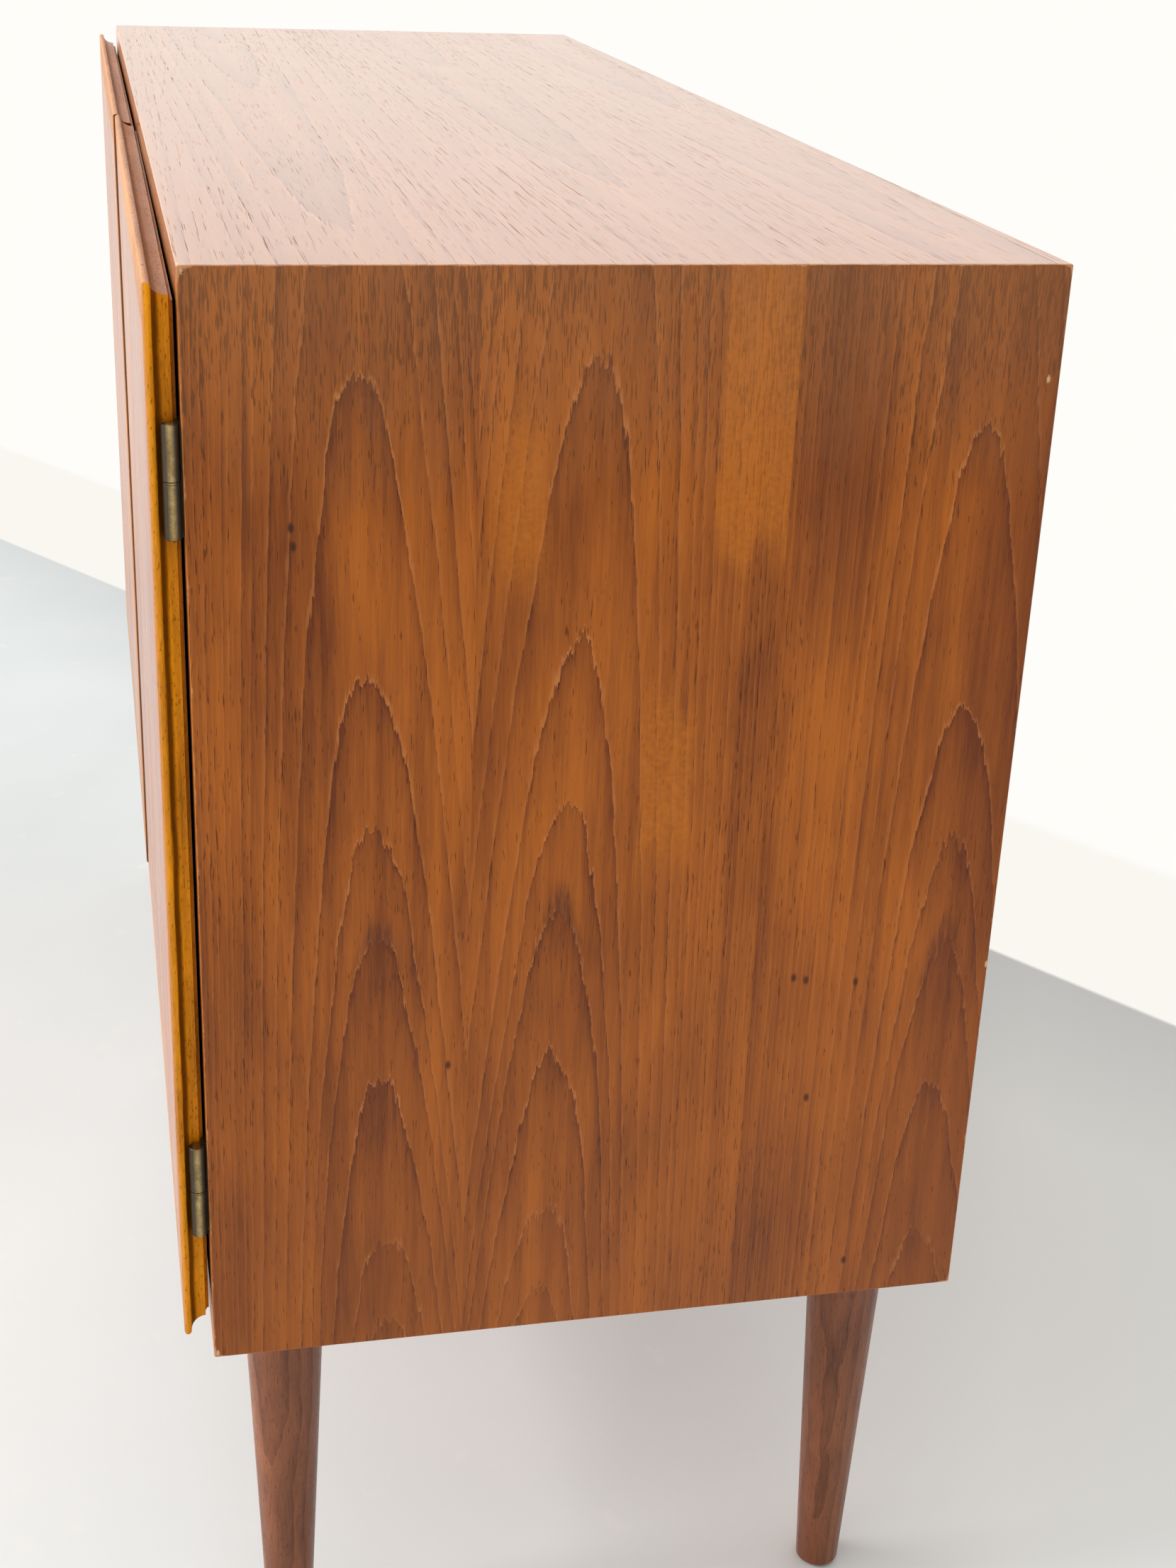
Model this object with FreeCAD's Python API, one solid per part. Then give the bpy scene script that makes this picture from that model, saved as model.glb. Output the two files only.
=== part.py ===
import FreeCAD, Part
import math
import os

from FreeCAD import Rotation, Vector

# A two-door teak sideboard on four turned legs.
#
# The carcass is a mitred box of veneered boards with solid strips on its front edges.
# Two doors lie over the front. Each is a veneered board framed by mitred lippings whose
# edge is worked to a thin rounded lip with a cove behind it, which the fingers pull on.
# Brass hinges turn in the coves at the outer ends. The inside holds a partition, two
# loose shelves on pins, magnetic catches and a thin back panel let into rabbets.
#
# Millimetres. X runs along the length, the doors face -Y, Z is up, and the origin is on
# the floor under the middle of the whole object, doors included.

# ---------------------------------------------------------------- driving sizes

# Carcass
carcass_length = 1190.0
carcass_depth = 420.0
carcass_height = 583.0
panel_thickness = 20.0
partition_thickness = 18.0
edge_rounding = 1.2
edge_strip_depth = 6.0
bottom_strip_rise = 10.0        # how far the bottom strip stands above the floor panel

# Back panel, let into rabbets
back_thickness = 6.0
back_recess = 2.0
rabbet_width = 9.0
back_clearance = 0.5
back_screws_per_row = 5
back_screws_per_side = 2

# Legs
leg_height = 247.0
leg_top_diameter = 46.0
leg_foot_diameter = 26.0
leg_foot_rounding = 2.5
leg_inset_x = 57.0              # end face of the carcass to the leg's axis
leg_inset_y = 42.0              # front or back face of the carcass to the leg's axis
leg_plate_size = 60.0
leg_plate_thickness = 3.0
leg_plate_corner = 6.0
leg_plate_screw_inset = 8.0
leg_bolt_diameter = 8.0
leg_bolt_in_leg = 40.0
leg_bolt_in_panel = 8.0
glide_diameter = 18.0
glide_thickness = 1.5
glide_nail_diameter = 2.4
glide_nail_length = 12.0

# Doors: the reveals are the margins of carcass that the lips leave uncovered
side_reveal = 3.0
top_reveal = 8.0
bottom_reveal = 15.0
meeting_gap = 3.0
right_door_drawn_in = 1.2       # meeting edge of the right door, behind that of the left one
lipping_width = 24.0
lip_thickness = 3.8
lip_rounding = 1.5              # how far in from its tip the lip's rounded edge begins
cove_clearance = 1.6            # between the hinge barrel and the deepest line of the cove
back_step_run = 1.0
back_step_depth = 1.9

# Hinges
barrel_diameter = 8.0
barrel_standoff = 1.1           # carcass front to the back of the barrel
barrel_lip_clearance = 2.1      # front of the barrel to the back of the lip
knuckle_wall = 1.3
knuckle_chamfer = 0.4
running_clearance = 0.05        # radial, pin in the door's knuckle
lift_clearance = 0.1            # washer to the door's knuckle
washer_thickness = 0.8
pin_proud = 0.2
leaf_thickness = 1.2
frame_leaf_proud = 0.7
door_leaf_proud = 0.5
leaf_gap = 0.3                  # between the two closed leaves
leaf_margin = 2.0
hinge_height = 54.0
hinge_from_door_end = 90.0      # door's end to the middle of the hinge
hinge_screw_inset = 8.0

# Catches and their strike plates
catch_offset = 44.0             # middle of the carcass to the middle of a catch
catch_case = (26.0, 14.0, 10.5)
catch_flange = (46.0, 10.0, 2.5)
catch_rounding = 1.0
magnet_gap = 1.5
strike_length = 34.0
strike_height = 9.0
strike_thickness = 1.2

# Shelves and their pins
shelf_thickness = 18.0
shelf_side_clearance = 1.0
shelf_back_clearance = 2.0
shelf_front_setback = 14.0
shelf_below_middle = 12.0       # middle of the inside height to the underside of the shelf
pin_diameter = 5.0
pin_in_panel = 7.0
pin_under_shelf = 9.0
pin_row_inset = 45.0            # shelf's front or back edge to the row of pins
pin_hole_pitch = 32.0
pin_holes_each_way = 2          # spare holes above and below the one in use

# Screws: shank diameter, head diameter, length
leaf_screw = (2.8, 5.2, 16.0)
door_screw = (2.8, 5.2, 10.0)
plate_screw = (3.6, 7.0, 15.0)
back_screw = (3.0, 6.0, 18.0)
catch_screw = (2.6, 5.0, 13.0)
screw_point_length = 3.0
screw_slot_width = 0.8
screw_slot_depth = 0.5

# ---------------------------------------------------------------- places that follow

door_gap = frame_leaf_proud + leaf_gap + door_leaf_proud
lip_back = barrel_standoff + barrel_diameter + barrel_lip_clearance
door_projection = lip_back + lip_thickness
cove_back = door_gap + back_step_depth
cove_depth = barrel_diameter - side_reveal + cove_clearance
door_back_inset = cove_depth + back_step_run + back_step_depth

end_x = carcass_length / 2
inner_x = end_x - panel_thickness
carcass_front = door_projection - (carcass_depth + door_projection) / 2
carcass_back = carcass_front + carcass_depth
panel_front = carcass_front + edge_strip_depth
back_rear = carcass_back - back_recess
back_front = back_rear - back_thickness
carcass_bottom = leg_height
carcass_top = carcass_bottom + carcass_height
floor_z = carcass_bottom + panel_thickness
ceiling_z = carcass_top - panel_thickness
partition_x = partition_thickness / 2

door_front = carcass_front - door_projection
door_back = carcass_front - door_gap
door_inner_x = meeting_gap / 2
door_outer_x = end_x - side_reveal
door_bottom = carcass_bottom + bottom_reveal
door_top = carcass_top - top_reveal

barrel_radius = barrel_diameter / 2
barrel_x = end_x - barrel_radius
barrel_y = carcass_front - barrel_standoff - barrel_radius
hinge_middles = {
    "lower": door_bottom + hinge_from_door_end,
    "upper": door_top - hinge_from_door_end,
}

shelf_front = carcass_front + shelf_front_setback
shelf_rear = back_front - shelf_back_clearance
shelf_underside = (floor_z + ceiling_z) / 2 - shelf_below_middle
pin_rows = (shelf_front + pin_row_inset, shelf_rear - pin_row_inset)
pin_z = shelf_underside - pin_diameter / 2

parts = {}


# ---------------------------------------------------------------- shared helpers

def box(x_range, y_range, z_range):
    """A box between two limits along each axis."""
    lows, highs = zip(*(sorted(limits) for limits in (x_range, y_range, z_range)))
    size = [high - low for low, high in zip(lows, highs)]
    return Part.makeBox(*size, Vector(*lows))


def slab(outline, y_low, y_high):
    """A flat piece with its outline in X and Z, between two planes of Y."""
    corners = [Vector(x, y_low, z) for x, z in outline]
    face = Part.Face(Part.makePolygon(corners + corners[:1]))
    return face.extrude(Vector(0, y_high - y_low, 0))


def spread(low, high, count):
    """Evenly spaced values from low to high, both included."""
    return [low + (high - low) * step / (count - 1) for step in range(count)]


def mirrored(shape):
    """The same shape on the other side of the middle of the length."""
    return shape.mirror(Vector(0, 0, 0), Vector(1, 0, 0))


def on_side(side, shape):
    """A shape drawn for the right-hand side, put on the named side."""
    return shape if side == "right" else mirrored(shape)


def round_edges(shape, radius, wanted):
    """Rounds the edges of a shape that the test picks out."""
    return shape.makeFillet(radius, [edge for edge in shape.Edges if wanted(edge)])


def let_in(piece, fittings):
    """Cuts a piece where fittings are let into it, to the exact shape of each one."""
    tools = [
        solid for fitting in fittings for solid in fitting.Solids
        if solid.BoundBox.intersect(piece.BoundBox)
    ]
    return piece.cut(tools) if tools else piece


def countersunk_screw(size, head_height, head_centre, direction):
    """A slotted wood screw, and the hole that it fills, from the middle of its head."""
    shank_diameter, head_diameter, length = size
    shank_radius = shank_diameter / 2
    shank_end = length - screw_point_length
    head = Part.makeCone(head_diameter / 2, shank_radius, head_height)
    shank = Part.makeCylinder(shank_radius, shank_end - head_height, Vector(0, 0, head_height))
    point = Part.makeCone(shank_radius, 0, screw_point_length, Vector(0, 0, shank_end))
    hole = head.fuse([shank, point]).removeSplitter()
    slot = box(
        (-head_diameter, head_diameter),
        (-screw_slot_width / 2, screw_slot_width / 2),
        (0, screw_slot_depth),
    )
    screw = hole.cut(slot)
    turn = Rotation(Vector(0, 0, 1), direction)
    for shape in (screw, hole):
        shape.Placement = FreeCAD.Placement(head_centre, turn)
    return screw, hole


def screw_set(size, head_height, head_centres, direction):
    """A group of equal screws pointing one way, and the group of their holes."""
    pairs = [countersunk_screw(size, head_height, centre, direction) for centre in head_centres]
    screws, holes = zip(*pairs)
    return Part.makeCompound(screws), Part.makeCompound(holes)


def both_sides(shape):
    """A group with the mirrored copy of itself."""
    return Part.makeCompound(shape.Solids + mirrored(shape).Solids)


# ---------------------------------------------------------------- hinges

def knuckle(z_range, bore_radius):
    """A chamfered barrel section with its bore."""
    z_low, z_high = z_range
    height = z_high - z_low
    foot = Vector(barrel_x, barrel_y, z_low)
    barrel = Part.makeCylinder(barrel_radius, height, foot)
    rims = [edge for edge in barrel.Edges if abs(edge.BoundBox.ZLength) < 1e-6]
    barrel = barrel.makeChamfer(knuckle_chamfer, rims)
    return barrel, Part.makeCylinder(bore_radius, height, foot)


def hinge(middle_z):
    """The pieces of one right-hand hinge, closed, by name.

    Both leaves are let in behind the door and stop short of the barrel, except along
    their own knuckle, where the leaf turns forward and meets the barrel's inner side.
    """
    bottom, top = middle_z - hinge_height / 2, middle_z + hinge_height / 2
    knuckle_length = (hinge_height - washer_thickness - lift_clearance) / 2
    frame_knuckle = (bottom, bottom + knuckle_length)
    door_knuckle = (top - knuckle_length, top)
    bore_radius = barrel_radius - knuckle_wall
    pin_radius = bore_radius - running_clearance
    web_x = (end_x - barrel_diameter, end_x - barrel_diameter + leaf_thickness)

    frame_leaf_front = carcass_front - frame_leaf_proud
    frame_leaf_rear = frame_leaf_front + leaf_thickness
    plate = box((inner_x + leaf_margin, web_x[1]), (frame_leaf_front, frame_leaf_rear), (bottom, top))
    web = box(web_x, (barrel_y, frame_leaf_rear), frame_knuckle)
    barrel, bore = knuckle(frame_knuckle, pin_radius)
    frame_leaf = plate.fuse([web, barrel]).cut(bore).removeSplitter()

    door_leaf_rear = door_back + door_leaf_proud
    door_leaf_front = door_leaf_rear - leaf_thickness
    leaf_inner_x = door_outer_x - lipping_width + leaf_margin
    leaf_outer_x = door_outer_x - door_back_inset
    leaf_y = (door_leaf_front, door_leaf_rear)
    plate = box((leaf_inner_x, leaf_outer_x), leaf_y, (bottom, top))
    arm = box((leaf_inner_x, web_x[1]), leaf_y, door_knuckle)
    web = box(web_x, (barrel_y, door_leaf_rear), door_knuckle)
    barrel, bore = knuckle(door_knuckle, bore_radius)
    door_leaf = plate.fuse([arm, web, barrel]).cut(bore).removeSplitter()

    washer_foot = Vector(barrel_x, barrel_y, frame_knuckle[1])
    washer = Part.makeCylinder(barrel_radius, washer_thickness, washer_foot)
    washer = washer.cut(Part.makeCylinder(pin_radius, washer_thickness, washer_foot))
    pin_foot = Vector(barrel_x, barrel_y, bottom)
    pin = Part.makeCylinder(pin_radius, hinge_height + pin_proud, pin_foot)

    screw_levels = (bottom + hinge_screw_inset, top - hinge_screw_inset)
    frame_screw_x = (inner_x + leaf_margin + web_x[0]) / 2
    door_screw_x = (leaf_inner_x + leaf_outer_x) / 2
    frame_screw_heads = [Vector(frame_screw_x, frame_leaf_front, z) for z in screw_levels]
    door_screw_heads = [Vector(door_screw_x, door_leaf_rear, z) for z in screw_levels]
    frame_screws, frame_holes = screw_set(
        leaf_screw, leaf_thickness, frame_screw_heads, Vector(0, 1, 0))
    door_screws, door_holes = screw_set(
        door_screw, leaf_thickness, door_screw_heads, Vector(0, -1, 0))
    return {
        "frame_leaf": frame_leaf.cut(frame_holes),
        "door_leaf": door_leaf.cut(door_holes),
        "washer": washer,
        "pin": pin,
        "frame_screws": frame_screws,
        "frame_holes": frame_holes,
        "door_screws": door_screws,
        "door_holes": door_holes,
    }


hinges = {level: hinge(middle_z) for level, middle_z in hinge_middles.items()}


def from_hinges(piece):
    """The named piece of both right-hand hinges, as one group."""
    return Part.makeCompound([solid for each in hinges.values() for solid in each[piece].Solids])


# ---------------------------------------------------------------- catches

catch_front = door_back + strike_thickness + magnet_gap
case_length, case_depth, case_height = catch_case
flange_length, flange_depth, flange_thickness = catch_flange
flange_underside = ceiling_z - flange_thickness
case_bottom = flange_underside - case_height


def catch():
    """A right-hand magnetic catch under the top panel, its screws and their holes."""
    half_case, half_flange = case_length / 2, flange_length / 2
    case = box(
        (catch_offset - half_case, catch_offset + half_case),
        (catch_front, catch_front + case_depth),
        (case_bottom, flange_underside),
    )
    case = round_edges(case, catch_rounding, lambda edge: edge.BoundBox.ZMax < flange_underside - 1)
    flange_y = catch_front + (case_depth - flange_depth) / 2
    flange = box(
        (catch_offset - half_flange, catch_offset + half_flange),
        (flange_y, flange_y + flange_depth),
        (flange_underside, ceiling_z),
    )
    screw_offset = (half_case + half_flange) / 2
    heads = [
        Vector(catch_offset + offset, flange_y + flange_depth / 2, flange_underside)
        for offset in (-screw_offset, screw_offset)
    ]
    screws, holes = screw_set(catch_screw, flange_thickness * 0.8, heads, Vector(0, 0, 1))
    body = case.fuse(flange).removeSplitter().cut(holes)
    return body, screws, holes


def strike():
    """A right-hand strike plate behind the door's top lipping, its screw and the hole."""
    middle_z = case_bottom + case_height / 2
    rear = door_back + strike_thickness
    plate = box(
        (catch_offset - strike_length / 2, catch_offset + strike_length / 2),
        (door_back, rear),
        (middle_z - strike_height / 2, middle_z + strike_height / 2),
    )
    head = Vector(catch_offset, rear, middle_z)
    screws, holes = screw_set(door_screw, strike_thickness, [head], Vector(0, -1, 0))
    return plate.cut(holes), screws, holes


# ---------------------------------------------------------------- doors

def quarter_ellipse(centre, start, end):
    """A quarter of an ellipse whose two half-axes run from the centre to its ends."""
    long_end, short_end = start, end
    if (end - centre).Length > (start - centre).Length:
        long_end, short_end = end, start
    ellipse = Part.Ellipse(long_end, short_end, centre)
    return Part.ArcOfEllipse(ellipse, 0, math.pi / 2).toShape()


def lipping(start, along, inward):
    """One mitred lipping of a door, from the corner at start.

    along runs to the next corner and inward is the unit vector into the door. The
    section is a flat face, a thin rounded lip, a cove that is a quarter ellipse, and
    a small scooped step at the back.
    """
    def at(forward, inset):
        return start + inward * inset + Vector(0, carcass_front - forward, 0)

    lip_middle = door_projection - lip_thickness / 2
    step_inset = cove_depth + back_step_run
    face_inner = at(door_projection, lipping_width)
    lip_start = at(door_projection, lip_rounding)
    lip_tip = at(lip_middle, 0)
    lip_end = at(lip_back, lip_rounding)
    cove_end = at(cove_back, cove_depth)
    step_start = at(cove_back, step_inset)
    scoop = back_step_depth * math.sqrt(0.5)
    step_middle = at(door_gap + scoop, step_inset + scoop)
    step_end = at(door_gap, door_back_inset)
    back_inner = at(door_gap, lipping_width)
    edges = [
        Part.makeLine(face_inner, lip_start),
        quarter_ellipse(at(lip_middle, lip_rounding), lip_start, lip_tip),
        quarter_ellipse(at(lip_middle, lip_rounding), lip_tip, lip_end),
        quarter_ellipse(at(cove_back, lip_rounding), lip_end, cove_end),
        Part.makeLine(cove_end, step_start),
        Part.Arc(step_start, step_middle, step_end).toShape(),
        Part.makeLine(step_end, back_inner),
        Part.makeLine(back_inner, face_inner),
    ]
    bar = Part.Face(Part.Wire(edges)).extrude(along)

    step = Vector(along).normalize()
    outside = start - inward - step
    inside = start + (inward + step) * lipping_width
    corners = [outside, outside + along + step * 2, inside + along - step * 2 * lipping_width, inside]
    mitred = slab([(corner.x, corner.z) for corner in corners], door_front - 1, door_back + 1)
    return bar.common(mitred)


def shut(side, shape):
    """A piece of a right-hand door as it rests when shut.

    The left door stays square to the carcass. The right one turns a little further
    about its hinges, until its meeting edge is drawn in.
    """
    if side == "left":
        return mirrored(shape)
    swing = math.asin(right_door_drawn_in / (barrel_x - door_inner_x))
    return shape.rotated(Vector(barrel_x, barrel_y, 0), Vector(0, 0, 1), -math.degrees(swing))


def door(side):
    """The wood and fittings of one door, written under names of its side."""
    width = door_outer_x - door_inner_x
    height = door_top - door_bottom
    runs = {
        "top_lipping": (Vector(door_inner_x, 0, door_top), Vector(width, 0, 0), Vector(0, 0, -1)),
        "bottom_lipping": (Vector(door_inner_x, 0, door_bottom), Vector(width, 0, 0), Vector(0, 0, 1)),
        "hinge_lipping": (Vector(door_outer_x, 0, door_bottom), Vector(0, 0, height), Vector(-1, 0, 0)),
        "meeting_lipping": (Vector(door_inner_x, 0, door_bottom), Vector(0, 0, height), Vector(1, 0, 0)),
    }
    wood = {name: lipping(*run) for name, run in runs.items()}
    wood["panel"] = box(
        (door_inner_x + lipping_width, door_outer_x - lipping_width),
        (door_front, door_back),
        (door_bottom + lipping_width, door_top - lipping_width),
    )
    strike_plate, strike_screws, strike_holes = strike()
    leaves = from_hinges("door_leaf")
    fittings = [leaves, from_hinges("door_holes"), strike_holes]
    for name, piece in wood.items():
        parts[f"{side}_door_{name}"] = shut(side, let_in(piece, fittings))
    for level in hinge_middles:
        parts[f"{side}_{level}_hinge_door_leaf"] = shut(side, hinges[level]["door_leaf"])
    screws = from_hinges("door_screws").Solids + strike_screws.Solids
    parts[f"{side}_door_screws"] = shut(side, Part.makeCompound(screws))
    parts[f"{side}_door_strike_plate"] = shut(side, strike_plate)


# ---------------------------------------------------------------- legs

leg_centres = {
    f"{end}_{side}": Vector(x, y, 0)
    for end, y in (("front", carcass_front + leg_inset_y), ("back", carcass_back - leg_inset_y))
    for side, x in (("left", leg_inset_x - end_x), ("right", end_x - leg_inset_x))
}


def leg_fittings(centre):
    """The plate, bolt, plate screws, their holes and the foot glide of one leg."""
    half = leg_plate_size / 2
    underside = centre + Vector(0, 0, carcass_bottom)
    plate = box(
        (centre.x - half, centre.x + half),
        (centre.y - half, centre.y + half),
        (carcass_bottom, carcass_bottom + leg_plate_thickness),
    )
    plate = round_edges(plate, leg_plate_corner, lambda edge: edge.BoundBox.ZLength > 1)
    bolt_length = leg_bolt_in_leg + leg_plate_thickness + leg_bolt_in_panel
    bolt_foot = underside - Vector(0, 0, leg_bolt_in_leg)
    bolt = Part.makeCylinder(leg_bolt_diameter / 2, bolt_length, bolt_foot)
    offset = half - leg_plate_screw_inset
    heads = [
        underside + Vector(x, y, 0) for x in (-offset, offset) for y in (-offset, offset)
    ]
    screws, holes = screw_set(plate_screw, leg_plate_thickness * 0.8, heads, Vector(0, 0, 1))
    glide = Part.makeCylinder(glide_diameter / 2, glide_thickness, centre)
    glide = round_edges(glide, glide_thickness / 3, lambda edge: edge.BoundBox.ZMax < glide_thickness / 2)
    nail = Part.makeCylinder(
        glide_nail_diameter / 2, glide_nail_length, centre + Vector(0, 0, glide_thickness))
    return {
        "plate": plate.cut([bolt, *holes.Solids]),
        "bolt": bolt,
        "screws": screws,
        "holes": holes,
        "glide": glide.fuse(nail),
    }


def leg(centre, fittings):
    """One turned leg, a straight taper with a rounded foot, bored for its bolt and glide."""
    length = leg_height - glide_thickness
    cone = Part.makeCone(
        leg_foot_diameter / 2, leg_top_diameter / 2, length, centre + Vector(0, 0, glide_thickness))
    cone = round_edges(
        cone, leg_foot_rounding, lambda edge: edge.BoundBox.ZMax < glide_thickness + 0.1)
    return cone.cut([fittings["bolt"], fittings["glide"]])


# ---------------------------------------------------------------- shelves

def shelf_pin(wall_x, into_wall, row_y, z):
    """A pin across the inner face at wall_x; into_wall is +1 or -1, the way into the wall."""
    length = pin_in_panel + pin_under_shelf
    start = Vector(wall_x + into_wall * pin_in_panel, row_y, z)
    return Part.makeCylinder(pin_diameter / 2, length, start, Vector(-into_wall, 0, 0))


def pins_at(z):
    """The right-hand compartment's four pins at one level."""
    walls = ((inner_x, 1), (partition_x, -1))
    return [shelf_pin(wall, way, row_y, z) for wall, way in walls for row_y in pin_rows]


def shelf(side):
    """One loose shelf with a solid strip on its front edge."""
    x_range = (partition_x + shelf_side_clearance, inner_x - shelf_side_clearance)
    z_range = (shelf_underside, shelf_underside + shelf_thickness)
    board_front = shelf_front + edge_strip_depth
    strip = box(x_range, (shelf_front, board_front), z_range)
    strip = round_edges(
        strip, edge_rounding,
        lambda edge: edge.BoundBox.YMax < shelf_front + 0.1 and edge.BoundBox.XLength > 1)
    parts[f"{side}_shelf_board"] = on_side(side, box(x_range, (board_front, shelf_rear), z_range))
    parts[f"{side}_shelf_edge_strip"] = on_side(side, strip)


# ---------------------------------------------------------------- carcass

def ring_outlines():
    """Outlines of the four mitred sides of the carcass, in X and Z."""
    bottom, top = carcass_bottom, carcass_top
    return {
        "top": [(-end_x, top), (end_x, top), (inner_x, ceiling_z), (-inner_x, ceiling_z)],
        "bottom": [(-end_x, bottom), (end_x, bottom), (inner_x, floor_z), (-inner_x, floor_z)],
        "left": [(-end_x, bottom), (-end_x, top), (-inner_x, ceiling_z), (-inner_x, floor_z)],
        "right": [(end_x, bottom), (end_x, top), (inner_x, ceiling_z), (inner_x, floor_z)],
    }


def carcass_wood():
    """The boards and edge strips of the carcass before any fitting is let in."""
    envelope = box((-end_x, end_x), (carcass_front, carcass_back), (carcass_bottom, carcass_top))
    envelope = envelope.makeFillet(edge_rounding, envelope.Edges)
    rabbet_x = inner_x + rabbet_width
    rabbet_z = (floor_z - rabbet_width, ceiling_z + rabbet_width)
    rabbet = box((-rabbet_x, rabbet_x), (back_front, carcass_back + 1), rabbet_z)

    outlines = ring_outlines()
    board_names = {
        "top": "top_panel",
        "bottom": "bottom_panel",
        "left": "left_end_panel",
        "right": "right_end_panel",
    }
    wood = {
        name: slab(outlines[place], panel_front, carcass_back).common(envelope).cut(rabbet)
        for place, name in board_names.items()
    }

    ledge_z = floor_z + bottom_strip_rise
    outlines["bottom"][2:] = [(inner_x, floor_z), (inner_x, ledge_z), (-inner_x, ledge_z), (-inner_x, floor_z)]
    for place, outline in outlines.items():
        wood[f"{place}_edge_strip"] = slab(outline, carcass_front, panel_front).common(envelope)

    partition = (-partition_x, partition_x)
    wood["centre_partition"] = box(partition, (panel_front, back_front), (floor_z, ceiling_z))
    wood["partition_edge_strip"] = box(partition, (carcass_front, panel_front), (ledge_z, ceiling_z))
    board_x = rabbet_x - back_clearance
    board_z = (rabbet_z[0] + back_clearance, rabbet_z[1] - back_clearance)
    wood["back_panel"] = box((-board_x, board_x), (back_front, back_rear), board_z)
    return wood


def back_screw_heads():
    """Head centres of the back panel's screws, all round and down the partition."""
    side_x = inner_x + rabbet_width / 2
    low_z, high_z = floor_z - rabbet_width / 2, ceiling_z + rabbet_width / 2
    row_x = spread(-inner_x, inner_x, back_screws_per_row)
    levels = spread(low_z, high_z, back_screws_per_side + 2)[1:-1]
    places = [(x, z) for z in (low_z, high_z) for x in row_x]
    places += [(x, z) for x in (-side_x, 0, side_x) for z in levels]
    return [Vector(x, back_rear, z) for x, z in places]


def carcass():
    """The carcass with everything fixed to it."""
    wood = carcass_wood()
    fittings = {name: leg_fittings(centre) for name, centre in leg_centres.items()}
    catch_body, catch_screws, catch_holes = catch()
    back_screws, back_holes = screw_set(
        back_screw, back_thickness / 2, back_screw_heads(), Vector(0, -1, 0))
    pins = both_sides(Part.makeCompound(pins_at(pin_z)))
    spare_steps = range(-pin_holes_each_way, pin_holes_each_way + 1)
    all_levels = [pin_z + step * pin_hole_pitch for step in spare_steps]
    right_holes = [pin for z in all_levels for pin in pins_at(z)]
    pin_holes = both_sides(Part.makeCompound(right_holes))

    let_into_wood = [
        both_sides(from_hinges("frame_leaf")),
        both_sides(from_hinges("frame_holes")),
        both_sides(catch_holes),
        back_holes,
        pin_holes,
    ]
    for each in fittings.values():
        let_into_wood += [each["plate"], each["bolt"], each["holes"]]
    for name, piece in wood.items():
        parts[name] = let_in(piece, let_into_wood)

    for name, each in fittings.items():
        parts[f"{name}_leg"] = leg(leg_centres[name], each)
        parts[f"{name}_leg_plate"] = each["plate"]
    parts["leg_bolts"] = Part.makeCompound([each["bolt"] for each in fittings.values()])
    plate_screws = [solid for each in fittings.values() for solid in each["screws"].Solids]
    parts["leg_plate_screws"] = Part.makeCompound(plate_screws)
    parts["foot_glides"] = Part.makeCompound([each["glide"] for each in fittings.values()])
    parts["back_panel_screws"] = back_screws
    parts["shelf_pins"] = pins
    parts["catch_screws"] = both_sides(catch_screws)
    parts["hinge_washers"] = both_sides(from_hinges("washer"))
    parts["hinge_frame_screws"] = both_sides(from_hinges("frame_screws"))
    for side in ("left", "right"):
        parts[f"{side}_catch"] = on_side(side, catch_body)
        for level, pieces in hinges.items():
            parts[f"{side}_{level}_hinge_frame_leaf"] = on_side(side, pieces["frame_leaf"])
            parts[f"{side}_{level}_hinge_pin"] = on_side(side, pieces["pin"])


carcass()
for side in ("left", "right"):
    door(side)
    shelf(side)

os.makedirs("parts", exist_ok=True)
for name, shape in parts.items():
    solids = shape.Solids
    shape = solids[0] if len(solids) == 1 else Part.makeCompound(solids)
    shape.exportStep(f"parts/{name}.step")
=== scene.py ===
from functools import partial

import bpy
import numpy as np
from mathutils import Matrix, Vector


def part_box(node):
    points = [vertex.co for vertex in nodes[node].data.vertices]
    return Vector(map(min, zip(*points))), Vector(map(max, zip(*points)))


# A teak sideboard: finishes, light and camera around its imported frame.
#
# Every finish is worked out in millimetres of the piece it lies on. A pattern's space has
# X across the grain, Y along it and Z into the wood, so one figure serves every board,
# turned and started where that board's veneer was laid.

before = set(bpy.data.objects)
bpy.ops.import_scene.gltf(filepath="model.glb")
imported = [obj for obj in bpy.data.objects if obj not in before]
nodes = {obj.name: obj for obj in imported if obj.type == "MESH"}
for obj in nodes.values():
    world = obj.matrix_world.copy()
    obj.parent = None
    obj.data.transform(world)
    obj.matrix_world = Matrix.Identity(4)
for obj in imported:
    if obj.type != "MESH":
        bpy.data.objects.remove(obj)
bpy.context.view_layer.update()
scene = bpy.context.scene

MM = 0.001
PER_MM = (1 / MM,) * 3
HALF = (0.5, 0.5, 0.5)
X, Y, Z = Vector((1, 0, 0)), Vector((0, 1, 0)), Vector((0, 0, 1))


def srgb(code):
    """A hex colour as linear red, green, blue and alpha."""
    parts = [int(code[i:i + 2], 16) / 255 for i in (0, 2, 4)]
    return [p / 12.92 if p <= 0.04045 else ((p + 0.055) / 1.055) ** 2.4 for p in parts] + [1.0]


def out_of(plug):
    """A node's first open output, or the plug itself."""
    return next(s for s in plug.outputs if s.enabled) if isinstance(plug, bpy.types.Node) else plug


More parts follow.
